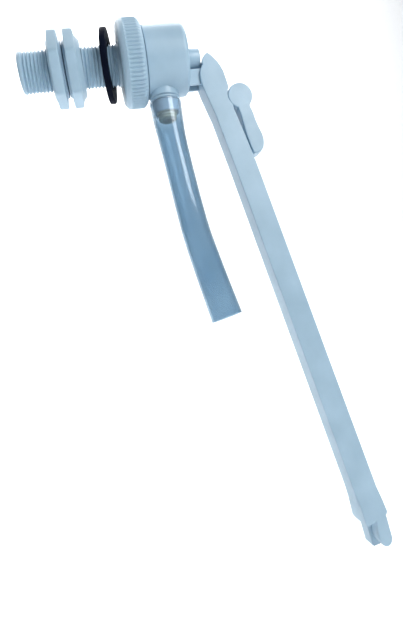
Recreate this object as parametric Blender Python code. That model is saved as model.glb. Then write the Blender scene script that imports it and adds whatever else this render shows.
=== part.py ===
"""Side-inlet float valve with a hanging lever, built as separate bodies.

Frame: +X runs along the inlet shank from the supply towards the lever, +Z is up.
The origin is on the shank axis, at the plane where the tank wall meets the washer.
Lengths below are in millimetres; every coordinate is scaled to metres when a mesh is made.
"""
import math

import bmesh
import bpy

MM = 0.001

# Inlet shank, a half inch pipe thread (plain cylinder here)
SHANK_R = 10.4
SHANK_BORE = 6.6
SHANK_X0 = -43.6
SHANK_X1 = 13.5
FLANGE_X = 11.0
FLANGE_R = 16.5

# Back nuts
NUT_AF = 34.0
NUT_BORE = 10.95
NUT_BOSS = 13.9

# Washer, cocked on the thread
WASHER_R = 18.6
WASHER_BORE = 11.2
WASHER_T = 3.0
WASHER_X = 2.1
WASHER_TILT = -7.5
WASHER_LEAN = 3.5

# Union collar and barrel
COLLAR_X0 = 8.2
COLLAR_X1 = 20.8
COLLAR_R = 22.25
BARREL_X1 = 43.7
BARREL_R = 18.5
CHAMBER_R = 11.6

# Outlet below the barrel
OUTLET_X = 29.4
OUTLET_R = 4.6

# Lever pivot, cam and swing
PIVOT_X = 54.9
PIVOT_Z = -11.5
CAM_K = 6.6
CAM_D0 = 3.2
CAM_SWING = 60.0
LEVER_HALF = 6.2
PIN_R = 1.6

# Thumb lever pinned on the float lever
THUMB_X = 70.5
THUMB_Z = -24.0
THUMB_R = 7.0
THUMB_HALF = 5.0


def clear_scene():
    """Remove whatever the start-up file holds."""
    for obj in list(bpy.data.objects):
        bpy.data.objects.remove(obj, do_unlink=True)


def material(name, color, roughness, alpha=1.0):
    """Make one principled material."""
    mat = bpy.data.materials.new(name)
    mat.use_nodes = True
    node = mat.node_tree.nodes["Principled BSDF"]
    node.inputs["Base Color"].default_value = (color[0], color[1], color[2], 1.0)
    node.inputs["Roughness"].default_value = roughness
    node.inputs["Alpha"].default_value = alpha
    return mat


def finish(name, bm, mat):
    """Turn a bmesh in millimetres into a named object in metres."""
    bmesh.ops.recalc_face_normals(bm, faces=bm.faces)
    bmesh.ops.scale(bm, vec=(MM, MM, MM), verts=bm.verts)
    mesh = bpy.data.meshes.new(name)
    bm.to_mesh(mesh)
    bm.free()
    obj = bpy.data.objects.new(name, mesh)
    bpy.context.scene.collection.objects.link(obj)
    if mat is not None:
        mesh.materials.append(mat)
    return obj


def on_x(a, u, v):
    """Map a point of a turned shape onto the shank axis."""
    return (a, u, v)


def on_outlet(a, u, v):
    """Map a point of a turned shape onto the vertical outlet axis."""
    return (OUTLET_X + u, v, a)


def on_pivot(a, u, v):
    """Map a point of a turned shape onto the lever pivot."""
    return (PIVOT_X + u, a, PIVOT_Z + v)


def on_thumb(a, u, v):
    """Map a point of a turned shape onto the thumb lever's pin."""
    return (THUMB_X + u, a, THUMB_Z + v)


def lathe(name, profile, place, mat, segments=32, turn=0.0):
    """Turn a closed (along, radius) profile; radius 0 makes a pole, turn shifts the facets."""
    bm = bmesh.new()
    rings = []
    for along, radius in profile:
        if radius == 0:
            rings.append([bm.verts.new(place(along, 0.0, 0.0))])
            continue
        ring = []
        for i in range(segments):
            t = 2 * math.pi * (i + turn) / segments
            ring.append(bm.verts.new(place(along, radius * math.cos(t), radius * math.sin(t))))
        rings.append(ring)
    solid = len(rings[0]) == 1 and len(rings[-1]) == 1
    count = len(rings) - 1 if solid else len(rings)
    for k in range(count):
        a = rings[k]
        b = rings[(k + 1) % len(rings)]
        for i in range(segments):
            j = (i + 1) % segments
            if len(a) == 1:
                bm.faces.new((a[0], b[i], b[j]))
            elif len(b) == 1:
                bm.faces.new((a[i], b[0], a[j]))
            else:
                bm.faces.new((a[i], b[i], b[j], a[j]))
    return finish(name, bm, mat)


def prism(name, outline, y0, y1, mat):
    """Extrude an (x, z) outline from y0 to y1."""
    bm = bmesh.new()
    low = [bm.verts.new((x, y0, z)) for x, z in outline]
    high = [bm.verts.new((x, y1, z)) for x, z in outline]
    bm.faces.new(low)
    bm.faces.new(list(reversed(high)))
    for i in range(len(outline)):
        j = (i + 1) % len(outline)
        bm.faces.new((low[i], low[j], high[j], high[i]))
    return finish(name, bm, mat)


def loft(name, sections):
    """Join rectangles given as (left point, right point, half thickness)."""
    bm = bmesh.new()
    rings = []
    for left, right, half in sections:
        corners = [(left, -half), (right, -half), (right, half), (left, half)]
        rings.append([bm.verts.new((point[0], y, point[1])) for point, y in corners])
    bm.faces.new(rings[0])
    bm.faces.new(list(reversed(rings[-1])))
    for k in range(len(rings) - 1):
        for i in range(4):
            j = (i + 1) % 4
            bm.faces.new((rings[k][i], rings[k][j], rings[k + 1][j], rings[k + 1][i]))
    return finish(name, bm, None)


def boolean(target, cutter, operation):
    """Add an exact Boolean modifier and hide its cutter."""
    mod = target.modifiers.new(cutter.name, "BOOLEAN")
    mod.solver = "EXACT"
    mod.operation = operation
    mod.object = cutter
    cutter.hide_render = True
    cutter.display_type = "WIRE"


def arc(cx, cz, radius, start, end, steps):
    """List points on an arc in the x-z plane, angles in degrees."""
    out = []
    for i in range(steps + 1):
        t = math.radians(start + (end - start) * i / steps)
        out.append((cx + radius * math.cos(t), cz + radius * math.sin(t)))
    return out


def hex_radius(angle):
    """Distance from the centre to a hexagon with a corner at angle 0."""
    half = math.pi / 6
    t = (angle % (math.pi / 3)) - half
    return (NUT_AF / 2) / math.cos(t)


def back_nut(name, x_face, direction, boss, mat):
    """Flanged hex nut: low face, hex flange and an outer boss of the given height."""
    stations = [
        (0.0, "bore"), (0.0, "boss"), (1.2, "boss"), (1.2, "hex"),
        (6.4, "hex"), (6.4, "boss"), (6.4 + boss, "boss"), (6.4 + boss, "bore"),
    ]
    bm = bmesh.new()
    segments = 48
    rings = []
    for offset, kind in stations:
        ring = []
        for i in range(segments):
            t = 2 * math.pi * i / segments
            radius = {"bore": NUT_BORE, "boss": NUT_BOSS, "hex": hex_radius(t)}[kind]
            x = x_face + direction * offset
            ring.append(bm.verts.new((x, radius * math.cos(t), radius * math.sin(t))))
        rings.append(ring)
    for k in range(len(rings)):
        a = rings[k]
        b = rings[(k + 1) % len(rings)]
        for i in range(segments):
            j = (i + 1) % segments
            bm.faces.new((a[i], b[i], b[j], a[j]))
    return finish(name, bm, mat)


def cam_points(steps):
    """Involute cam face that drives the flat plunger end at a constant rate."""
    out = []
    for i in range(steps + 1):
        t = math.radians(CAM_SWING) * i / steps
        reach = CAM_D0 + CAM_K * t - 0.12
        x = -reach * math.cos(t) + CAM_K * math.sin(t)
        z = reach * math.sin(t) + CAM_K * math.cos(t)
        out.append((PIVOT_X + x, PIVOT_Z + z))
    return out


def lever_outline():
    """Side view of the float lever at rest, hanging down."""
    head = cam_points(8)
    crown = [(57.4, -1.0), (58.9, -2.8), (60.5, -4.9), (61.9, -7.4), (63.0, -10.4), (63.7, -14.0),
             (64.5, -19.0)]
    right = [(65.5, -31.8), (69.0, -45.4), (72.8, -61.0), (110.2, -247.0)]
    left = [(112.2, -257.0), (98.6, -259.6), (97.2, -250.2), (60.2, -60.9), (54.6, -34.0), (51.4, -22.9), (50.0, -17.2),
            (49.6, -13.2), (49.9, -9.6), (50.7, -7.5), (51.9, -6.0)]
    return head + crown + right + left


def build():
    """Make every body."""
    clear_scene()
    white = material("white_plastic", (0.72, 0.79, 0.83), 0.42)
    grey = material("grey_plastic", (0.62, 0.70, 0.75), 0.45)
    black = material("black_rubber", (0.02, 0.022, 0.028), 0.75)
    brass = material("brass", (0.78, 0.60, 0.30), 0.3)
    cream = material("cream_plastic", (0.72, 0.70, 0.55), 0.4)
    clear = material("clear_tube", (0.55, 0.66, 0.75), 0.2, 0.45)
    steel = material("steel", (0.6, 0.62, 0.64), 0.3)

    # Inlet shank with the flange that the union collar clamps
    lathe("inlet_shank", [
        (SHANK_X0, SHANK_BORE), (SHANK_X0, 9.6), (SHANK_X0 + 0.9, SHANK_R), (FLANGE_X, SHANK_R),
        (FLANGE_X, FLANGE_R), (SHANK_X1, FLANGE_R), (SHANK_X1, SHANK_BORE)], on_x, white, 40)
    strainer = lathe("inlet_strainer", [
        (-42.6, 4.9), (-42.6, 6.2), (-36.0, 6.2), (-36.0, 4.9)], on_x, grey, 24)
    bar_y = prism("cut_strainer_bar_y", [(-37.2, -0.5), (-36.2, -0.5), (-36.2, 0.5), (-37.2, 0.5)],
                  -5.4, 5.4, None)
    bar_z = prism("cut_strainer_bar_z", [(-37.2, -5.4), (-36.2, -5.4), (-36.2, 5.4), (-37.2, 5.4)],
                  -0.5, 0.5, None)
    boolean(strainer, bar_y, "UNION")
    boolean(strainer, bar_z, "UNION")
    lathe("seat_nozzle", [
        (2.8, 3.2), (2.8, 6.1), (13.9, 6.1), (13.9, 9.6), (15.2, 9.6), (15.2, 6.4), (19.4, 5.6),
        (20.8, 4.2), (20.8, 3.2)], on_x, white, 32)
    lathe("flange_gasket", [(13.8, 10.0), (13.8, 16.3), (15.4, 16.3), (15.4, 10.0)], on_x, black, 32)
    lathe("union_collar", [
        (COLLAR_X0, 11.3), (COLLAR_X0, 19.6), (COLLAR_X0 + 0.8, 21.0), (COLLAR_X0 + 2.6, COLLAR_R),
        (COLLAR_X1 - 2.3, COLLAR_R), (COLLAR_X1, 20.2), (COLLAR_X1, 17.6), (COLLAR_X0 + 2.5, 17.6),
        (COLLAR_X0 + 2.5, 11.3)], on_x, white, 48)

    # Barrel with outlet boss and pivot lugs
    body = lathe("valve_body", [
        (15.7, CHAMBER_R), (15.7, 17.1), (21.3, 17.1), (21.3, BARREL_R), (41.2, BARREL_R),
        (42.4, 18.1), (43.2, 17.3), (BARREL_X1, 16.0), (BARREL_X1, 6.1), (40.3, 6.1),
        (40.3, CHAMBER_R)], on_x, white, 48)
    boss = lathe("cut_outlet_boss", [(-14.5, 0), (-14.5, 8.0), (-20.5, 8.0), (-20.5, 0)],
                 on_outlet, None, 32, 0.3)
    lug_outline = [(42.5, -15.7), (PIVOT_X, -15.7)]
    lug_outline += arc(PIVOT_X, PIVOT_Z, 4.2, -80, 80, 8)
    lug_outline += [(PIVOT_X, -7.3), (42.5, -7.3)]
    lug_front = prism("cut_lug_front", lug_outline, -4.3, -2.9, None)
    lug_back = prism("cut_lug_back", lug_outline, 2.9, 4.3, None)
    bore = lathe("cut_outlet_bore", [(-8.0, 0), (-8.0, 6.0), (-22.0, 6.0), (-22.0, 0)],
                 on_outlet, None, 24, 0.3)
    pin_hole = lathe("cut_pin_hole", [(-9.0, 0), (-9.0, 2.0), (9.0, 2.0), (9.0, 0)], on_pivot, None, 20)
    boolean(body, boss, "UNION")
    boolean(body, lug_front, "UNION")
    boolean(body, lug_back, "UNION")
    boolean(body, bore, "DIFFERENCE")
    boolean(body, pin_hole, "DIFFERENCE")

    # Outlet parts and the hush tube
    lathe("outlet_spigot", [
        (-12.6, OUTLET_R - 0.8), (-12.6, 5.6), (-28.8, 5.6), (-28.8, 5.0), (-32.6, 4.5),
        (-32.6, 3.0)], on_outlet, cream, 24)
    lathe("outlet_ring", [
        (-20.9, 6.1), (-20.9, 8.2), (-22.3, 8.2), (-22.3, 7.0), (-28.8, 6.8), (-28.8, 6.1)],
        on_outlet, white, 32)
    build_hush_tube(clear)

    # Piston train
    lathe("piston", [
        (30.3, 0), (30.3, 4.2), (32.3, 4.2), (32.3, 11.2), (34.2, 11.2), (34.2, 9.3), (37.0, 9.3),
        (37.0, 11.2), (39.9, 11.2), (39.9, 5.6), (51.5, 5.6), (51.7, 5.4), (51.7, 0)], on_x, white, 32)
    lathe("piston_seal", [(27.9, 0), (27.9, 5.0), (29.9, 5.0), (29.9, 0)], on_x, black, 24)
    lathe("seal_retainer", [(28.3, 5.3), (28.3, 6.6), (32.0, 6.6), (32.0, 5.3)], on_x, grey, 24)
    lathe("piston_ring", [(34.5, 9.6), (34.5, 11.3), (36.7, 11.3), (36.7, 9.6)], on_x, black, 32)

    # Back nuts and washer
    back_nut("outer_back_nut", -20.6, -1, 1.1, white)
    back_nut("inner_back_nut", -20.2, 1, 2.5, white)
    washer = lathe("tank_washer", [
        (0.0, WASHER_BORE), (0.0, WASHER_R), (WASHER_T, WASHER_R), (WASHER_T, WASHER_BORE)],
        on_x, black, 40)
    turn = math.radians(WASHER_TILT)
    lean = math.radians(WASHER_LEAN)
    for vert in washer.data.vertices:
        x0, y, z0 = vert.co.x - WASHER_T / 2 * MM, vert.co.y, vert.co.z
        x = x0 * math.cos(lean) + z0 * math.sin(lean)
        vert.co.z = z0 * math.cos(lean) - x0 * math.sin(lean)
        vert.co.x = x * math.cos(turn) - y * math.sin(turn) + WASHER_X * MM
        vert.co.y = x * math.sin(turn) + y * math.cos(turn)

    build_lever(white)
    build_thumb(white, steel)

    # Lever pivot pin and its clip
    lathe("pivot_pin", [(-5.1, 0), (-5.1, PIN_R), (8.4, PIN_R), (8.4, 0)], on_pivot, brass, 20)
    lathe("pivot_clip", [(6.6, 1.95), (6.6, 3.6), (7.4, 3.6), (7.4, 1.95)], on_pivot, steel, 20)


def build_hush_tube(mat):
    """Flexible outlet tube swept along its hanging line, flattened towards the open end."""
    line = [(29.4, -22.8), (29.4, -31.0), (29.8, -41.0), (30.8, -54.0), (31.9, -67.5),
            (33.2, -82.0), (34.8, -96.0), (37.3, -110.5), (40.3, -126.0), (43.8, -143.4)]
    half_widths = [(8.7, 8.7), (8.4, 8.4), (7.8, 7.8), (7.6, 7.6), (7.6, 7.5),
                   (7.7, 7.4), (7.9, 7.2), (8.2, 6.9), (8.5, 6.6), (8.9, 6.3)]
    segments = 24
    bm = bmesh.new()
    outer = []
    inner = []
    for k, (x, z) in enumerate(line):
        a = line[max(k - 1, 0)]
        b = line[min(k + 1, len(line) - 1)]
        length = math.hypot(b[0] - a[0], b[1] - a[1])
        side = (-(b[1] - a[1]) / length, (b[0] - a[0]) / length)
        half_x, half_y = half_widths[k]
        for store, wall in ((outer, 0.0), (inner, 1.2)):
            ring = []
            for i in range(segments):
                t = 2 * math.pi * i / segments
                u = (half_x - wall) * math.cos(t)
                v = (half_y - wall) * math.sin(t)
                ring.append(bm.verts.new((x + side[0] * u, v, z + side[1] * u)))
            store.append(ring)
    for rings in (outer, inner):
        for k in range(len(rings) - 1):
            for i in range(segments):
                j = (i + 1) % segments
                bm.faces.new((rings[k][i], rings[k + 1][i], rings[k + 1][j], rings[k][j]))
    for k in (0, -1):
        for i in range(segments):
            j = (i + 1) % segments
            bm.faces.new((outer[k][i], outer[k][j], inner[k][j], inner[k][i]))
    return finish("hush_tube", bm, mat)


def build_lever(mat):
    """Float lever: forked head with cam, long arm, ear for the thumb lever, stepped tip."""
    lever = prism("float_lever", lever_outline(), -LEVER_HALF, LEVER_HALF, mat)
    slot = arc(PIVOT_X, PIVOT_Z, 4.7, -90, 30, 8)
    slot += [(PIVOT_X - 2.93, PIVOT_Z + 14.47), (40.0, 8.0), (40.0, PIVOT_Z - 4.7)]
    slot_front = prism("cut_slot_front", slot, -4.65, -2.55, None)
    slot_back = prism("cut_slot_back", slot, 2.55, 4.65, None)
    ear = [(62.0, THUMB_Z - 4.4), (THUMB_X, THUMB_Z - 4.4)]
    ear += arc(THUMB_X, THUMB_Z, 4.4, -75, 75, 8)
    ear += [(THUMB_X, THUMB_Z + 4.4), (62.0, THUMB_Z + 4.4)]
    ear_part = prism("cut_thumb_ear", ear, -2.0, 2.0, None)
    ear_hole = lathe("cut_ear_hole", [(-4, 0), (-4, 2.0), (4, 2.0), (4, 0)], on_thumb, None, 20)
    bore = lathe("cut_lever_bore", [(-5.5, 0), (-5.5, 2.05), (9, 2.05), (9, 0)], on_pivot, None, 20)
    tip = loft("cut_lever_tip", [
        ((97.6, -249.5), (110.0, -247.0), 5.9), ((100.4, -271.0), (113.8, -265.8), 8.8)])
    front_prong = prism("cut_front_prong", [
        (106.5, -262.0), (112.6, -262.0), (114.4, -277.5), (114.6, -279.6), (114.2, -281.7),
        (113.1, -283.4), (111.5, -284.2), (109.9, -284.1), (108.5, -283.0), (107.2, -281.0),
        (106.3, -278.6)], -8.2, 0.6, None)
    back_prong = prism("cut_back_prong", [
        (102.5, -262.0), (110.5, -262.0), (112.1, -284.2), (111.4, -285.5), (106.4, -286.3),
        (105.3, -285.3)], -0.6, 8.2, None)
    notch = lathe("cut_eye_notch", [(-9, 0), (-9, THUMB_R + 0.5), (9, THUMB_R + 0.5), (9, 0)],
                  on_thumb, None, 32)
    boolean(lever, slot_front, "DIFFERENCE")
    boolean(lever, slot_back, "DIFFERENCE")
    boolean(lever, notch, "DIFFERENCE")
    boolean(lever, ear_part, "UNION")
    boolean(lever, ear_hole, "DIFFERENCE")
    boolean(lever, bore, "DIFFERENCE")
    boolean(lever, tip, "UNION")
    boolean(lever, front_prong, "UNION")
    boolean(lever, back_prong, "UNION")
    return lever


def build_thumb(mat, steel):
    """Thumb lever folded down along the float lever, with its pin."""
    outline = arc(THUMB_X, THUMB_Z, THUMB_R, 250, -36, 20)
    outline += [(74.9, -29.9), (75.4, -31.2), (76.3, -34.3), (77.0, -38.3), (78.3, -43.0),
                (79.7, -47.6), (79.6, -51.5), (78.9, -53.9), (77.4, -55.7), (75.4, -56.4),
                (72.7, -56.6), (71.8, -53.0), (70.2, -45.0), (68.9, -34.0)]
    thumb = prism("thumb_lever", outline, -THUMB_HALF, THUMB_HALF, mat)
    slot = arc(THUMB_X, THUMB_Z, 4.9, -100, 20, 8)
    slot += [(THUMB_X + 4.9, THUMB_Z + 9.0), (60.0, THUMB_Z + 9.0), (60.0, THUMB_Z - 4.9)]
    slot_part = prism("cut_thumb_slot", slot, -2.4, 2.4, None)
    hole = lathe("cut_thumb_hole", [(-4.2, 0), (-4.2, 2.0), (8, 2.0), (8, 0)], on_thumb, None, 20)
    boolean(thumb, slot_part, "DIFFERENCE")
    boolean(thumb, hole, "DIFFERENCE")
    lathe("thumb_pin", [(-3.8, 0), (-3.8, PIN_R), (5.0, PIN_R), (5.0, 0)], on_thumb, steel, 20)
    return thumb


build()
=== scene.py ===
"""Looks of the side-inlet float valve: threaded shank, nuts, knurled union, barrel, hush tube and lever."""
import math

import bmesh
import bpy
from mathutils import Matrix, Vector


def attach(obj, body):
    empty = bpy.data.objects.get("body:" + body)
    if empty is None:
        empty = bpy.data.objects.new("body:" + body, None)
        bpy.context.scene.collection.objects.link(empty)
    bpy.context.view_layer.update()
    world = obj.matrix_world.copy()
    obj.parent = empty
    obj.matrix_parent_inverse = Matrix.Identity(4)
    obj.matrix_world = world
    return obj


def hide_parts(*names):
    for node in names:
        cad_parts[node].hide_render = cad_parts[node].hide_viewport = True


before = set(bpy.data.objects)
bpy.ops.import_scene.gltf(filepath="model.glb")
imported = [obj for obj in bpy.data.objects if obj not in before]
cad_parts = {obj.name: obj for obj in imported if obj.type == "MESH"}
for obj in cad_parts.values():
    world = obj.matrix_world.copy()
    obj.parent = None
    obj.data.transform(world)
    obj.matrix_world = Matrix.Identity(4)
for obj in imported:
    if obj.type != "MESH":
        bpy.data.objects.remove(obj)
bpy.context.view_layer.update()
MM = 0.001

# Shank and thread
THREAD_R = 10.42
THREAD_DEPTH = 1.05
PITCH = 1.814
SHANK_X0 = -43.6
THREAD_X1 = 7.4
# The thread is cut only where the profile's radius is between these.
THREAD_BAND = (9.9, 10.8)

# Nuts, washer and collar; tilt is about Z and lean about Y, in degrees
NUT_AF = 34.0
NUT_BORE = 10.95
NUT_HEX_TOP = 6.4
WASHER_X = 2.1
WASHER_TILT = -7.5
WASHER_LEAN = 3.5
COLLAR_X0 = 8.2
COLLAR_X1 = 20.8
COLLAR_R = 22.25
RIDGES = 68
RIDGE_H = 0.75
# The knurl is cut only outside this radius.
KNURL_FROM_R = 20.9

# Barrel, outlet, pivot and thumb lever
BARREL_X1 = 43.7
BARREL_R = 18.5
CHAMBER_R = 11.6
OUTLET_X = 29.4
# Turns the outlet's facets by part of one, so that their corners miss the barrel's edges in a Boolean.
OUTLET_PHASE = 0.3
PIVOT = (54.9, -11.5)
CAM_K = 6.6
CAM_D0 = 3.2
CAM_SWING = 60.0
LEVER_HALF = 6.2
THUMB = (70.5, -24.0)
THUMB_R = 7.0
THUMB_HALF = 5.0

# Shading: faces meeting more sharply than this, in degrees, keep a crease on the cut and joined pieces
CREASE_ANGLE = 32

# Materials: noise sizes and bump depth, and the heights in metres between which the tube turns paler, painted
# light standing in for the sleeve seen through it
CLOUD_SCALE = 55.0
CLOUD_DETAIL = 4.0
FINE_DETAIL = 6.0
BUMP_DEPTH = 0.0003
TUBE_PAINTED_LIGHT_FROM_Z = -0.036
TUBE_PAINTED_LIGHT_FULL_Z = -0.029

# Tube wall, then the stage and lights
TUBE_WALL = 1.2
FLOOR_Z = -320.0
SWEEP_Y = 900.0
SWEEP_R = 500.0
STAGE_HALF_WIDTH = 2500.0
LIGHT_TARGET = (30.0, 0.0, -60.0)

# Camera: where it is, and its right and up directions
CAMERA_AT = (-10.83, -259.01, -136.87)
CAMERA_RIGHT = (0.9742, -0.1549, -0.1640)
CAMERA_UP = (0.1620, -0.0258, 0.9865)
CAMERA_LENS = 27.92


# ---------------------------------------------------------------- camera first
def build_camera():
    """Wide camera close below the valve, rolled as it was held."""
    data = bpy.data.cameras.new("camera")
    data.lens = CAMERA_LENS
    data.sensor_width = 36.0
    data.clip_start = 0.01
    data.dof.use_dof = False
    cam = bpy.data.objects.new("camera", data)
    bpy.context.scene.collection.objects.link(cam)
    right = Vector(CAMERA_RIGHT)
    up = Vector(CAMERA_UP)
    back = right.cross(up).normalized()
    up = back.cross(right).normalized()
    turn = Matrix((right.normalized(), up, back)).transposed().to_4x4()
    cam.matrix_world = Matrix.Translation(Vector(CAMERA_AT) * MM) @ turn
    bpy.context.scene.camera = cam


# ---------------------------------------------------------------- materials
def new_material(name):
    """Make a node material and return it with its tree and principled node."""
    mat = bpy.data.materials.new(name)
    mat.use_nodes = True
    tree = mat.node_tree
    return mat, tree, tree.nodes["Principled BSDF"]


def noise(tree, scale, detail, stretch=(1.0, 1.0, 1.0)):
    """Object-space noise, its coordinates scaled first."""
    coords = tree.nodes.new("ShaderNodeTexCoord")
    mapping = tree.nodes.new("ShaderNodeMapping")
    mapping.inputs["Scale"].default_value = stretch
    node = tree.nodes.new("ShaderNodeTexNoise")
    node.inputs["Scale"].default_value = scale
    node.inputs["Detail"].default_value = detail
    tree.links.new(coords.outputs["Object"], mapping.inputs["Vector"])
    tree.links.new(mapping.outputs["Vector"], node.inputs["Vector"])
    return node


def ramp(tree, source, low, high):
    """Colour ramp from low to high over the middle of a noise."""
    node = tree.nodes.new("ShaderNodeValToRGB")
    node.color_ramp.elements[0].position = 0.3
    node.color_ramp.elements[0].color = (*low, 1.0)
    node.color_ramp.elements[1].position = 0.7
    node.color_ramp.elements[1].color = (*high, 1.0)
    tree.links.new(source.outputs["Fac"], node.inputs["Fac"])
    return node


def surface(tree, bsdf, color_low, color_high, rough_low, rough_high, bump, grain, stretch=(1, 1, 1)):
    """Cloudy colour, scuffed roughness and fine bump, all from noise."""
    cloud = noise(tree, CLOUD_SCALE, CLOUD_DETAIL)
    fine = noise(tree, grain, FINE_DETAIL, stretch)
    colors = ramp(tree, cloud, color_low, color_high)
    tree.links.new(colors.outputs["Color"], bsdf.inputs["Base Color"])
    spread = tree.nodes.new("ShaderNodeMapRange")
    spread.inputs["From Min"].default_value = 0.3
    spread.inputs["From Max"].default_value = 0.7
    spread.inputs["To Min"].default_value = rough_low
    spread.inputs["To Max"].default_value = rough_high
    tree.links.new(fine.outputs["Fac"], spread.inputs["Value"])
    tree.links.new(spread.outputs["Result"], bsdf.inputs["Roughness"])
    relief = tree.nodes.new("ShaderNodeBump")
    relief.inputs["Strength"].default_value = bump
    relief.inputs["Distance"].default_value = BUMP_DEPTH
    tree.links.new(fine.outputs["Fac"], relief.inputs["Height"])
    tree.links.new(relief.outputs["Normal"], bsdf.inputs["Normal"])


def plastic(name, low, high, rough):
    """Moulded plastic, slightly translucent at thin edges."""
    mat, tree, bsdf = new_material(name)
    surface(tree, bsdf, low, high, rough - 0.06, rough + 0.1, 0.12, 420.0)
    bsdf.inputs["Subsurface Weight"].default_value = 0.15
    bsdf.inputs["Subsurface Radius"].default_value = (0.002, 0.002, 0.0025)
    bsdf.inputs["IOR"].default_value = 1.49
    return mat


def rubber(name):
    """Dull black rubber with a navy tint."""
    mat, tree, bsdf = new_material(name)
    surface(tree, bsdf, (0.001, 0.0025, 0.009), (0.003, 0.006, 0.020), 0.6, 0.8, 0.3, 700.0)
    bsdf.inputs["Specular IOR Level"].default_value = 0.06
    return mat


def metal(name, low, high):
    """Turned metal with fine streaks."""
    mat, tree, bsdf = new_material(name)
    surface(tree, bsdf, low, high, 0.22, 0.4, 0.15, 260.0, (1.0, 6.0, 1.0))
    bsdf.inputs["Metallic"].default_value = 1.0
    return mat


def tube_material(name):
    """Clear flexible tube, bluish, and paler at the top: painted light that stands in for the sleeve seen
    through the tube.
    """
    mat, tree, bsdf = new_material(name)
    surface(tree, bsdf, (0.30, 0.43, 0.54), (0.38, 0.51, 0.61), 0.08, 0.14, 0.005, 60.0, (1, 1, 0.3))
    cloudy = bsdf.inputs["Base Color"].links[0].from_socket
    coords = tree.nodes.new("ShaderNodeTexCoord")
    split = tree.nodes.new("ShaderNodeSeparateXYZ")
    tree.links.new(coords.outputs["Object"], split.inputs["Vector"])
    # painted light: above this height band the tube's colour is mixed towards a pale tone that stands in for
    # the sleeve seen through it
    height = tree.nodes.new("ShaderNodeMapRange")
    height.inputs["From Min"].default_value = TUBE_PAINTED_LIGHT_FROM_Z
    height.inputs["From Max"].default_value = TUBE_PAINTED_LIGHT_FULL_Z
    tree.links.new(split.outputs["Z"], height.inputs["Value"])
    blend = tree.nodes.new("ShaderNodeMix")
    blend.data_type = "RGBA"
    color_a = [i for i in blend.inputs if i.type == "RGBA"][0]
    painted_see_through_color = [i for i in blend.inputs if i.type == "RGBA"][1]
    # the pale colour of the painted light at the top of the tube
    painted_see_through_color.default_value = (0.56, 0.67, 0.76, 1.0)
    tree.links.new(height.outputs["Result"], blend.inputs["Factor"])
    tree.links.new(cloudy, color_a)
    mixed = [o for o in blend.outputs if o.type == "RGBA"][0]
    tree.links.new(mixed, bsdf.inputs["Base Color"])
    bsdf.inputs["Transmission Weight"].default_value = 0.85
    bsdf.inputs["IOR"].default_value = 1.42
    return mat


# ---------------------------------------------------------------- mesh helpers
def on_x(a, u, v):
    """Shank axis."""
    return (a, u, v)


def on_outlet(a, u, v):
    """Vertical outlet axis."""
    return (OUTLET_X + u, v, a)


def on_pivot(a, u, v):
    """Lever pivot, along Y."""
    return (PIVOT[0] + u, a, PIVOT[1] + v)


def on_thumb(a, u, v):
    """Thumb lever pin, along Y."""
    return (THUMB[0] + u, a, THUMB[1] + v)


def to_object(name, bm, mat, smooth=35.0):
    """Turn a bmesh in millimetres into an object in metres with shading by angle."""
    bmesh.ops.recalc_face_normals(bm, faces=bm.faces)
    bmesh.ops.scale(bm, vec=(MM, MM, MM), verts=bm.verts)
    mesh = bpy.data.meshes.new(name)
    bm.to_mesh(mesh)
    bm.free()
    obj = bpy.data.objects.new(name, mesh)
    bpy.context.scene.collection.objects.link(obj)
    if mat is not None:
        mesh.materials.append(mat)
        mesh.shade_smooth()
        mesh.set_sharp_from_angle(angle=math.radians(smooth))
    return obj


def turned(name, profile, place, mat, segments=96, phase=0.0, relief=None):
    """Turn a closed (along, radius) profile; relief(along, radius, angle) adds thread or knurl."""
    bm = bmesh.new()
    rings = []
    for along, radius in profile:
        if radius == 0:
            rings.append([bm.verts.new(place(along, 0.0, 0.0))])
            continue
        ring = []
        for i in range(segments):
            t = 2 * math.pi * (i + phase) / segments
            r = radius + (relief(along, radius, t) if relief else 0.0)
            ring.append(bm.verts.new(place(along, r * math.cos(t), r * math.sin(t))))
        rings.append(ring)
    solid = len(rings[0]) == 1 and len(rings[-1]) == 1
    for k in range(len(rings) - 1 if solid else len(rings)):
        a = rings[k]
        b = rings[(k + 1) % len(rings)]
        for i in range(segments):
            j = (i + 1) % segments
            if len(a) == 1:
                bm.faces.new((a[0], b[i], b[j]))
            elif len(b) == 1:
                bm.faces.new((a[i], b[0], a[j]))
            else:
                bm.faces.new((a[i], b[i], b[j], a[j]))
    return to_object(name, bm, mat)


def rounded(profile, radius, steps=4):
    """Round every corner of a closed profile with no poles."""
    out = []
    n = len(profile)
    for k in range(n):
        p = Vector(profile[k])
        a = Vector(profile[k - 1]) - p
        b = Vector(profile[(k + 1) % n]) - p
        cut = min(radius, a.length * 0.45, b.length * 0.45)
        start = p + a.normalized() * cut
        end = p + b.normalized() * cut
        for i in range(steps + 1):
            t = i / steps
            q = start * (1 - t) ** 2 + p * (2 * t * (1 - t)) + end * t * t
            out.append((q.x, q.y))
    return out


def arc(cx, cz, radius, start, end, steps):
    """Points on an arc in the x-z plane, angles in degrees."""
    out = []
    for i in range(steps + 1):
        t = math.radians(start + (end - start) * i / steps)
        out.append((cx + radius * math.cos(t), cz + radius * math.sin(t)))
    return out


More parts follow.
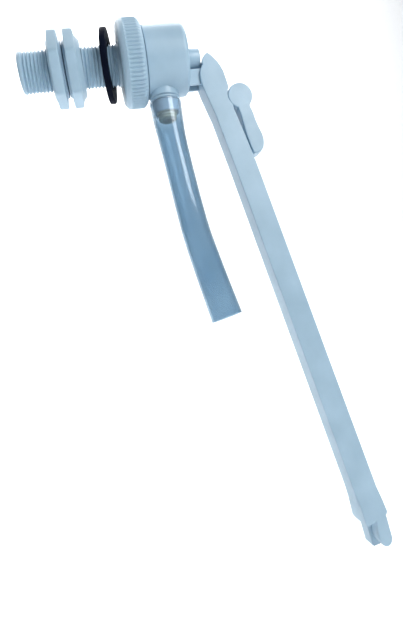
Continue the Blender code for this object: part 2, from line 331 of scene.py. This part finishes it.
def plate(name, outline, y0, y1, mat, edge=0.0):
    """Extrude an (x, z) outline, its two rims eased by edge."""
    bm = bmesh.new()
    n = len(outline)
    layers = [(y0, edge), (y0 + edge * 0.3, edge * 0.3), (y0 + edge, 0.0),
              (y1 - edge, 0.0), (y1 - edge * 0.3, edge * 0.3), (y1, edge)]
    if edge == 0.0:
        layers = [(y0, 0.0), (y1, 0.0)]
    area = 0.0
    for k in range(n):
        x0, z0 = outline[k]
        x1, z1 = outline[(k + 1) % n]
        area += x0 * z1 - x1 * z0
    hand = 1.0 if area > 0 else -1.0
    normals = []
    for k in range(n):
        p = Vector(outline[k])
        a = (p - Vector(outline[k - 1])).normalized()
        b = (Vector(outline[(k + 1) % n]) - p).normalized()
        d = (a + b).normalized()
        normals.append(Vector((-d.y, d.x)) * hand / max(0.6, a.dot(d)))
    rings = []
    for y, inset in layers:
        ring = []
        for k in range(n):
            q = Vector(outline[k]) + normals[k] * inset
            ring.append(bm.verts.new((q.x, y, q.y)))
        rings.append(ring)
    bm.faces.new(rings[0])
    bm.faces.new(list(reversed(rings[-1])))
    for k in range(len(rings) - 1):
        for i in range(n):
            j = (i + 1) % n
            bm.faces.new((rings[k][i], rings[k][j], rings[k + 1][j], rings[k + 1][i]))
    return to_object(name, bm, mat)


def combine(target, cutter, operation):
    """Apply an exact Boolean and remove the cutter."""
    mod = target.modifiers.new(cutter.name, "BOOLEAN")
    mod.solver = "EXACT"
    mod.operation = operation
    mod.object = cutter
    graph = bpy.context.evaluated_depsgraph_get()
    mesh = bpy.data.meshes.new_from_object(target.evaluated_get(graph))
    target.modifiers.clear()
    target.data = mesh
    bpy.data.objects.remove(cutter, do_unlink=True)


def flatten_shading(obj):
    """Keep broad faces flat while their eased edges shade smoothly."""
    obj.data.shade_smooth()
    obj.data.set_sharp_from_angle(angle=math.radians(CREASE_ANGLE))
    mod = obj.modifiers.new("weighted", "WEIGHTED_NORMAL")
    mod.weight = 100
    mod.keep_sharp = True


def place(obj, body, slot, *nodes):
    """Tie a piece to its body and hide the CAD nodes it stands for; slot is not used."""
    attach(obj, body)
    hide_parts(*nodes)


# ---------------------------------------------------------------- pieces
TUBE_LINE = [(29.4, -22.8), (29.4, -31.0), (29.8, -41.0), (30.8, -54.0), (31.9, -67.5),
             (33.2, -82.0), (34.8, -96.0), (37.3, -110.5), (40.3, -126.0), (43.8, -143.4)]
TUBE_HALVES = [(8.7, 8.7), (8.4, 8.4), (7.8, 7.8), (7.6, 7.6), (7.6, 7.5),
               (7.7, 7.4), (7.9, 7.2), (8.2, 6.9), (8.5, 6.6), (8.9, 6.3)]


def smooth_line(points, steps):
    """Catmull-Rom curve through (x, z) points."""
    out = []
    for k in range(len(points) - 1):
        p0 = Vector(points[max(k - 1, 0)])
        p1 = Vector(points[k])
        p2 = Vector(points[k + 1])
        p3 = Vector(points[min(k + 2, len(points) - 1)])
        for i in range(steps):
            t = i / steps
            q = 0.5 * ((2 * p1) + (p2 - p0) * t + (2 * p0 - 5 * p1 + 4 * p2 - p3) * t * t
                       + (3 * p1 - p0 - 3 * p2 + p3) * t ** 3)
            out.append((q.x, q.y))
    out.append(points[-1])
    return out


def build_tube(mat):
    """Hush tube: a hanging soft tube, flattened towards its cut open end."""
    line = smooth_line(TUBE_LINE, 5)
    halves = smooth_line(TUBE_HALVES, 5)
    segments = 64
    bm = bmesh.new()
    shells = ([], [])
    count = len(line) - 1
    for k, (x, z) in enumerate(line):
        a = line[max(k - 1, 0)]
        b = line[min(k + 1, count)]
        length = math.hypot(b[0] - a[0], b[1] - a[1])
        side = (-(b[1] - a[1]) / length, (b[0] - a[0]) / length)
        half_x, half_y = halves[k]
        for store, wall in zip(shells, (0.0, TUBE_WALL)):
            ring = []
            for i in range(segments):
                t = 2 * math.pi * i / segments
                u = (half_x - wall) * math.cos(t)
                v = (half_y - wall) * math.sin(t)
                ring.append(bm.verts.new((x + side[0] * u, v, z + side[1] * u)))
            store.append(ring)
    for rings in shells:
        for k in range(count):
            for i in range(segments):
                j = (i + 1) % segments
                bm.faces.new((rings[k][i], rings[k + 1][i], rings[k + 1][j], rings[k][j]))
    for k in (0, -1):
        for i in range(segments):
            j = (i + 1) % segments
            bm.faces.new((shells[0][k][i], shells[0][k][j], shells[1][k][j], shells[1][k][i]))
    tube = to_object("hush_tube_soft", bm, mat)
    tube.visible_shadow = False
    place(tube, "valve", "clear_tube", "hush_tube")
    length = 0.0
    for k in range(count):
        length += math.hypot(line[k + 1][0] - line[k][0], line[k + 1][1] - line[k][1]) * MM


def thread_relief(x, radius, angle):
    """Right-hand helical thread, fading at both ends; only on the outside."""
    if radius < THREAD_BAND[0] or radius > THREAD_BAND[1]:
        return 0.0
    turn = (x / PITCH + angle / (2 * math.pi)) % 1.0
    wave = 1.0 - abs(2.0 * turn - 1.0)
    depth = THREAD_DEPTH * (1.0 - min(1.0, max(0.0, (wave - 0.1) / 0.75)))
    fade = min(1.0, max(0.0, (x - SHANK_X0 - 1.4) / 1.0), max(0.0, (THREAD_X1 - x) / 1.2))
    return -depth * fade


def build_shank(mat):
    """Hollow threaded shank with its clamped flange."""
    profile = [(13.5, 16.3), (13.3, 16.5), (11.2, 16.5), (11.0, 16.3), (11.0, 10.42), (7.8, THREAD_R)]
    steps = 290
    for i in range(steps):
        x = THREAD_X1 - (THREAD_X1 - SHANK_X0 - 1.3) * i / (steps - 1)
        profile.append((x, THREAD_R))
    profile += [(SHANK_X0 + 0.7, 10.2), (SHANK_X0 + 0.25, 9.85), (SHANK_X0, 9.3), (SHANK_X0, 7.1),
                (SHANK_X0 + 0.15, 6.8), (SHANK_X0 + 0.5, 6.6), (13.5, 6.6)]
    shank = turned("shank_threaded", profile, on_x, mat, 96, relief=thread_relief)
    place(shank, "valve", "white_plastic", "inlet_shank")


def hex_radius(angle, rounding):
    """Radius of a hexagon with a corner at angle 0, its corners eased."""
    t = (angle % (math.pi / 3)) - math.pi / 6
    flat = (NUT_AF / 2) / math.cos(t)
    limit = NUT_AF / 2 / math.cos(math.pi / 6) - rounding
    soft = 0.35
    return -soft * math.log(math.exp(-flat / soft) + math.exp(-limit / soft))


def build_nut(name, x_face, direction, boss, mat, body, node):
    """Flanged back nut: low face, hex flange, then a cone up to a boss; a station's last number marks hex."""
    stations = [(0.25, 11.3, 0), (0.0, 11.6, 0), (0.0, 13.3, 0), (0.2, 13.75, 0), (1.2, 13.9, 0),
                (1.2, 16.0, 0), (1.4, 0.9, 1), (1.7, 0.45, 1), (2.1, 0.3, 1), (5.6, 0.3, 1),
                (6.1, 0.45, 1), (NUT_HEX_TOP, 0.9, 1), (NUT_HEX_TOP + 0.16 * boss, 16.0, 0),
                (NUT_HEX_TOP + 0.7 * boss, 14.4, 0), (NUT_HEX_TOP + 0.88 * boss, 13.8, 0),
                (NUT_HEX_TOP + boss, 13.3, 0), (NUT_HEX_TOP + boss, 11.6, 0),
                (NUT_HEX_TOP + 0.9 * boss, 11.2, 0), (NUT_HEX_TOP + 0.65 * boss, NUT_BORE, 0),
                (0.8, NUT_BORE, 0)]
    segments = 144
    bm = bmesh.new()
    rings = []
    for offset, value, is_hex in stations:
        ring = []
        for i in range(segments):
            t = 2 * math.pi * i / segments
            r = hex_radius(t, value) - value * 0.25 if is_hex else value
            ring.append(bm.verts.new((x_face + direction * offset, r * math.cos(t), r * math.sin(t))))
        rings.append(ring)
    for k in range(len(rings)):
        a = rings[k]
        b = rings[(k + 1) % len(rings)]
        for i in range(segments):
            j = (i + 1) % segments
            bm.faces.new((a[i], b[i], b[j], a[j]))
    nut = to_object(name, bm, mat, 28.0)
    place(nut, body, "white_plastic", node)


def build_washer(mat):
    """Rubber washer, cocked and leaning on the thread."""
    profile = rounded([(-1.5, 11.2), (-1.5, 18.6), (1.5, 18.6), (1.5, 11.2)], 0.5)
    washer = turned("washer_rubber", profile, on_x, mat, 128)
    turn = Matrix.Translation((WASHER_X * MM, 0, 0))
    turn = turn @ Matrix.Rotation(math.radians(WASHER_TILT), 4, "Z")
    turn = turn @ Matrix.Rotation(math.radians(WASHER_LEAN), 4, "Y")
    washer.data.transform(turn)
    place(washer, "washer", "black_rubber", "tank_washer")


def knurl(x, radius, angle):
    """Straight ridges round the collar's rim, run out at both edges."""
    if radius < KNURL_FROM_R:
        return 0.0
    fade = min(1.0, max(0.0, (x - COLLAR_X0 - 3.2) / 0.7), max(0.0, (COLLAR_X1 - 0.9 - x) / 1.2))
    wave = 0.5 - 0.5 * math.cos(RIDGES * angle)
    return -RIDGE_H * fade * (1.0 - wave ** 0.7)


def build_collar(mat):
    """Knurled union collar."""
    outer = [(COLLAR_X0, 19.2), (8.35, 20.0), (8.8, 20.8), (9.5, 21.5), (10.3, 21.95), (11.2, 22.2)]
    for i in range(15):
        outer.append((11.4 + i * 0.5, COLLAR_R))
    outer += [(18.9, 21.95), (19.4, 21.5), (19.9, 21.05), (20.3, 20.65), (20.65, 20.3),
              (COLLAR_X1, 19.8)]
    inner = [(COLLAR_X1, 18.0), (20.5, 17.6), (10.7, 17.6), (10.7, 11.3), (8.6, 11.3),
             (COLLAR_X0, 11.7)]
    collar = turned("collar_knurled", outer + inner, on_x, mat, RIDGES * 8, relief=knurl)
    place(collar, "valve", "white_plastic", "union_collar")


def build_body(mat):
    """Barrel with outlet boss and two pivot lugs."""
    profile = [(16.0, CHAMBER_R), (15.7, 11.9), (15.7, 16.8), (16.0, 17.1), (21.3, 17.1),
               (21.3, 18.3), (21.5, BARREL_R), (40.8, BARREL_R), (41.5, 18.42), (42.2, 18.15),
               (42.8, 17.75), (43.25, 17.2), (43.55, 16.6), (BARREL_X1, 15.8), (BARREL_X1, 6.4),
               (43.4, 6.1), (40.3, 6.1), (40.3, CHAMBER_R)]
    body = turned("barrel_body", profile, on_x, mat, 144)
    boss = turned("boss", [(-14.5, 0), (-14.5, 8.0), (-20.1, 8.0), (-20.5, 7.6), (-20.5, 0)],
                  on_outlet, None, 64, OUTLET_PHASE)
    lug = [(42.5, -15.7), (PIVOT[0], -15.7)] + arc(*PIVOT, 4.2, -80, 80, 16)
    lug += [(PIVOT[0], -7.3), (42.5, -7.3)]
    combine(body, boss, "UNION")
    combine(body, plate("lug_a", lug, -4.3, -2.9, None), "UNION")
    combine(body, plate("lug_b", lug, 2.9, 4.3, None), "UNION")
    bore = turned("bore", [(-8.0, 0), (-8.0, 6.0), (-22.0, 6.0), (-22.0, 0)],
                  on_outlet, None, 48, OUTLET_PHASE)
    combine(body, bore, "DIFFERENCE")
    hole = turned("hole", [(-9.0, 0), (-9.0, 2.0), (9.0, 2.0), (9.0, 0)], on_pivot, None, 32)
    combine(body, hole, "DIFFERENCE")
    flatten_shading(body)
    place(body, "valve", "white_plastic", "valve_body")


def build_outlet(white, cream):
    """Ridged spigot inside the tube and the ring above it."""
    profile = [(-12.6, 3.8), (-12.6, 5.3), (-12.9, 5.6), (-28.6, 5.6)]
    for k in range(2):
        z = -29.0 - 1.7 * k
        r = 5.2 - 0.25 * k
        profile += [(z, r - 0.45), (z - 0.4, r - 0.5), (z - 0.7, r), (z - 1.2, r), (z - 1.5, r - 0.4)]
    profile += [(-32.4, 4.3), (-32.6, 4.0), (-32.6, 3.1), (-32.3, 3.0)]
    spigot = turned("spigot_ridged", profile, on_outlet, cream, 64)
    place(spigot, "valve", "cream_plastic", "outlet_spigot")
    ring = turned("outlet_ring_lip", rounded([
        (-20.9, 6.1), (-20.9, 8.2), (-22.3, 8.2), (-22.3, 7.0), (-28.8, 6.8), (-28.8, 6.1)], 0.4),
        on_outlet, white, 96)
    place(ring, "valve", "white_plastic", "outlet_ring")


def cam_points(steps):
    """Involute cam face on the lever's head."""
    out = []
    for i in range(steps + 1):
        t = math.radians(CAM_SWING) * i / steps
        reach = CAM_D0 + CAM_K * t - 0.12
        x = -reach * math.cos(t) + CAM_K * math.sin(t)
        z = reach * math.sin(t) + CAM_K * math.cos(t)
        out.append((PIVOT[0] + x, PIVOT[1] + z))
    return out


def build_tip_block():
    """Flared block at the end of the arm, its corners eased."""
    sections = [((97.6, -249.5), (110.0, -247.0), 5.9), ((98.8, -259.2), (112.2, -256.4), 7.6),
                ((100.0, -269.0), (113.8, -264.4), 8.7), ((100.8, -270.9), (113.5, -265.9), 8.2)]
    ease = 0.9
    bm = bmesh.new()
    rings = []
    for left, right, half in sections:
        a = Vector(left)
        b = Vector(right)
        step = (b - a).normalized() * ease
        corners = [(a, -half + ease), (a + step * 0.3, -half + ease * 0.3), (a + step, -half),
                   (b - step, -half), (b - step * 0.3, -half + ease * 0.3), (b, -half + ease),
                   (b, half - ease), (b - step * 0.3, half - ease * 0.3), (b - step, half),
                   (a + step, half), (a + step * 0.3, half - ease * 0.3), (a, half - ease)]
        rings.append([bm.verts.new((q.x, y, q.y)) for q, y in corners])
    bm.faces.new(rings[0])
    bm.faces.new(list(reversed(rings[-1])))
    for k in range(len(rings) - 1):
        for i in range(12):
            j = (i + 1) % 12
            bm.faces.new((rings[k][i], rings[k][j], rings[k + 1][j], rings[k + 1][i]))
    return to_object("tip_block", bm, None)


def build_lever(mat):
    """Float lever: forked head with cam, long arm, ear and stepped tip."""
    outline = cam_points(12)
    outline += [(56.4, -0.1), (57.4, -1.0), (58.9, -2.8), (60.5, -4.9), (61.9, -7.4),
                (63.0, -10.4), (63.7, -14.0), (64.5, -19.0), (65.5, -31.8), (69.0, -45.4),
                (72.8, -61.0), (110.2, -247.0),
                (112.2, -257.0), (98.6, -259.6), (97.2, -250.2),
                (60.2, -60.9), (54.6, -34.0), (51.4, -22.9), (50.3, -18.6), (49.7, -15.5),
                (49.6, -12.6), (49.8, -10.4), (50.3, -8.6), (51.0, -7.2), (51.9, -6.0)]
    lever = plate("lever_arm", outline, -LEVER_HALF, LEVER_HALF, mat, 0.7)
    slot = arc(*PIVOT, 4.7, -90, 30, 12)
    slot += [(PIVOT[0] - 2.93, PIVOT[1] + 14.47), (40.0, 8.0), (40.0, PIVOT[1] - 4.7)]
    combine(lever, plate("slot_a", slot, -4.65, -2.55, None), "DIFFERENCE")
    combine(lever, plate("slot_b", slot, 2.55, 4.65, None), "DIFFERENCE")
    notch = turned("notch", [(-9, 0), (-9, 7.5), (9, 7.5), (9, 0)], on_thumb, None, 64)
    combine(lever, notch, "DIFFERENCE")
    ear = [(61.5, THUMB[1] - 4.4), (THUMB[0], THUMB[1] - 4.4)] + arc(*THUMB, 4.4, -75, 75, 16)
    ear += [(THUMB[0], THUMB[1] + 4.4), (61.5, THUMB[1] + 4.4)]
    combine(lever, plate("ear", ear, -2.0, 2.0, None), "UNION")
    hole = turned("hole", [(-4, 0), (-4, 2.0), (4, 2.0), (4, 0)], on_thumb, None, 32)
    combine(lever, hole, "DIFFERENCE")
    bore = turned("bore", [(-5.5, 0), (-5.5, 2.05), (9, 2.05), (9, 0)], on_pivot, None, 32)
    combine(lever, bore, "DIFFERENCE")
    combine(lever, build_tip_block(), "UNION")
    front = [(106.5, -262.0), (112.6, -262.0), (114.4, -277.5), (114.6, -279.6), (114.2, -281.7),
             (113.1, -283.4), (111.5, -284.2), (109.9, -284.1), (108.5, -283.0), (107.2, -281.0),
             (106.3, -278.6)]
    combine(lever, plate("front_prong", front, -8.2, 0.6, None, 1.2), "UNION")
    back = [(102.5, -262.0), (110.5, -262.0), (112.1, -284.2), (111.4, -285.5), (106.4, -286.3),
            (105.3, -285.3)]
    combine(lever, plate("back_prong", back, -0.6, 8.2, None, 0.7), "UNION")
    flatten_shading(lever)
    place(lever, "lever", "white_plastic", "float_lever")


def build_thumb(mat, steel):
    """Thumb lever folded down against the arm, with its pin."""
    outline = arc(*THUMB, THUMB_R, 250, -36, 40)
    outline += [(74.9, -29.9), (75.4, -31.2), (76.3, -34.3), (77.0, -38.3), (78.3, -43.0),
                (79.4, -46.2), (79.8, -49.0), (79.6, -51.5), (78.9, -53.9), (77.4, -55.7),
                (75.4, -56.4), (73.4, -56.6), (72.8, -56.2), (71.8, -53.0), (70.2, -45.0),
                (68.9, -34.0)]
    thumb = plate("thumb_lever_arm", outline, -THUMB_HALF, THUMB_HALF, mat, 0.8)
    slot = arc(*THUMB, 4.9, -100, 20, 16)
    slot += [(THUMB[0] + 4.9, THUMB[1] + 9.0), (60.0, THUMB[1] + 9.0), (60.0, THUMB[1] - 4.9)]
    combine(thumb, plate("slot", slot, -2.4, 2.4, None), "DIFFERENCE")
    hole = turned("hole", [(-4.2, 0), (-4.2, 2.0), (8, 2.0), (8, 0)], on_thumb, None, 32)
    combine(thumb, hole, "DIFFERENCE")
    flatten_shading(thumb)
    place(thumb, "thumb", "white_plastic", "thumb_lever")
    pin = turned("thumb_pin_rod", [(-3.8, 0), (-3.8, 1.3), (-3.5, 1.6), (4.7, 1.6), (5.0, 1.3), (5.0, 0)],
                 on_thumb, steel, 32)
    place(pin, "lever", "steel", "thumb_pin")


def build_pivot(brass, steel):
    """Pivot pin and the clip behind the lever."""
    pin = turned("pivot_pin_rod", [(-5.1, 0), (-5.1, 1.35), (-4.85, 1.6), (8.1, 1.6), (8.4, 1.3), (8.4, 0)],
                 on_pivot, brass, 48)
    place(pin, "valve", "brass", "pivot_pin")
    clip = turned("pivot_clip_ring", rounded([(6.6, 1.95), (6.6, 3.6), (7.4, 3.6), (7.4, 1.95)], 0.2),
                  on_pivot, steel, 48)
    place(clip, "valve", "steel", "pivot_clip")


def build_inner(white, grey, black):
    """Parts inside the barrel and shank."""
    piston = turned("piston_turned", [
        (30.3, 0), (30.3, 4.0), (30.5, 4.2), (32.3, 4.2), (32.3, 11.0), (32.5, 11.2), (34.2, 11.2),
        (34.2, 9.3), (37.0, 9.3), (37.0, 11.2), (39.7, 11.2), (39.9, 11.0), (39.9, 5.6),
        (51.3, 5.6), (51.58, 5.48), (51.7, 5.2), (51.7, 0)], on_x, white, 96)
    place(piston, "piston", "white_plastic", "piston")
    seal = turned("piston_seal_disc", [
        (27.9, 0), (27.9, 4.8), (28.1, 5.0), (29.7, 5.0), (29.9, 4.8), (29.9, 0)], on_x, black, 64)
    place(seal, "piston", "black_rubber", "piston_seal")
    cap = turned("seal_retainer_cap", rounded([(28.3, 5.3), (28.3, 6.6), (32.0, 6.6), (32.0, 5.3)], 0.25),
                 on_x, grey, 64)
    place(cap, "piston", "grey_plastic", "seal_retainer")
    ring = turned("piston_ring_seal", rounded([(34.5, 9.6), (34.5, 11.3), (36.7, 11.3), (36.7, 9.6)], 0.6),
                  on_x, black, 96)
    place(ring, "piston", "black_rubber", "piston_ring")
    nozzle = turned("seat_nozzle_turned", [
        (2.8, 3.2), (2.8, 6.1), (13.9, 6.1), (13.9, 9.6), (15.2, 9.6), (15.2, 6.4), (19.4, 5.6),
        (20.7, 4.4), (20.8, 4.2), (20.8, 3.4), (20.6, 3.2)], on_x, white, 64)
    place(nozzle, "valve", "white_plastic", "seat_nozzle")
    gasket = turned("flange_gasket_ring", rounded([
        (13.8, 10.0), (13.8, 16.3), (15.4, 16.3), (15.4, 10.0)], 0.3), on_x, black, 96)
    place(gasket, "valve", "black_rubber", "flange_gasket")
    basket = turned("strainer_ring", rounded([(-42.6, 4.9), (-42.6, 6.2), (-36.0, 6.2), (-36.0, 4.9)], 0.3),
                    on_x, grey, 64)
    for k in (-3, -1.5, 0, 1.5, 3):
        reach = math.sqrt(5.3 ** 2 - k * k)
        bar = plate("bar", [(-37.1, k - 0.25), (-36.4, k - 0.25), (-36.4, k + 0.25), (-37.1, k + 0.25)],
                    -reach, reach, None)
        combine(basket, bar, "UNION")
    place(basket, "valve", "grey_plastic", "inlet_strainer")


# ---------------------------------------------------------------- stage
def build_stage():
    """Pale seamless floor and wall."""
    bm = bmesh.new()
    profile = [(-SWEEP_Y, FLOOR_Z), (SWEEP_Y, FLOOR_Z)]
    profile += [(SWEEP_Y + SWEEP_R * math.sin(t), FLOOR_Z + SWEEP_R * (1 - math.cos(t)))
                for t in (math.radians(9 * k) for k in range(1, 11))]
    profile.append((SWEEP_Y + SWEEP_R, 2200.0))
    rows = []
    for x in (-STAGE_HALF_WIDTH, STAGE_HALF_WIDTH):
        rows.append([bm.verts.new((x, y, z)) for y, z in profile])
    for k in range(len(profile) - 1):
        bm.faces.new((rows[0][k], rows[1][k], rows[1][k + 1], rows[0][k + 1]))
    mat, tree, bsdf = new_material("pale_floor")
    surface(tree, bsdf, (0.93, 0.94, 0.95), (0.95, 0.96, 0.97), 0.7, 0.85, 0.01, 30.0)
    floor = to_object("floor", bm, mat, 60.0)


def area_light(name, at, target, size, power, color):
    """Soft rectangular light aimed at a point, in millimetres."""
    data = bpy.data.lights.new(name, "AREA")
    data.size = size
    data.energy = power
    data.color = color
    lamp = bpy.data.objects.new(name, data)
    bpy.context.scene.collection.objects.link(lamp)
    lamp.location = Vector(at) * MM
    aim = (Vector(target) - Vector(at)).normalized()
    lamp.rotation_euler = aim.to_track_quat("-Z", "Y").to_euler()


def build_light():
    """Soft key from the front right and above, pale surroundings and a lit backdrop."""
    world = bpy.data.worlds.new("studio")
    bpy.context.scene.world = world
    world.use_nodes = True
    back = world.node_tree.nodes["Background"]
    back.inputs["Color"].default_value = (0.90, 0.95, 1.0, 1.0)
    back.inputs["Strength"].default_value = 0.28
    area_light("key", (420.0, -620.0, 300.0), LIGHT_TARGET, 0.4, 4.6, (1.0, 0.99, 0.97))
    area_light("backdrop", (0.0, 700.0, 1100.0), (0.0, 1500.0, 200.0), 1.6, 34.0, (1.0, 1.0, 1.0))


def main():
    """Build everything in order: camera, hush tube, pieces, stage and lights."""
    build_camera()
    bpy.context.scene.view_settings.view_transform = "Standard"
    white = plastic("white_plastic", (0.33, 0.48, 0.60), (0.39, 0.55, 0.68), 0.38)
    grey = plastic("grey_plastic", (0.32, 0.42, 0.50), (0.40, 0.50, 0.58), 0.45)
    cream = plastic("cream_plastic", (0.50, 0.52, 0.40), (0.60, 0.60, 0.46), 0.35)
    black = rubber("black_rubber")
    brass = metal("brass", (0.60, 0.42, 0.18), (0.74, 0.54, 0.26))
    steel = metal("steel", (0.50, 0.52, 0.54), (0.62, 0.64, 0.66))
    build_tube(tube_material("clear_tube"))
    build_shank(white)
    build_nut("outer_nut_flanged", -20.6, -1, 1.1, white, "outer_nut", "outer_back_nut")
    build_nut("inner_nut_flanged", -20.2, 1, 2.5, white, "inner_nut", "inner_back_nut")
    build_washer(black)
    build_collar(white)
    build_body(white)
    build_outlet(white, cream)
    build_lever(white)
    build_thumb(white, steel)
    build_pivot(brass, steel)
    build_inner(white, grey, black)
    build_stage()
    build_light()


main()
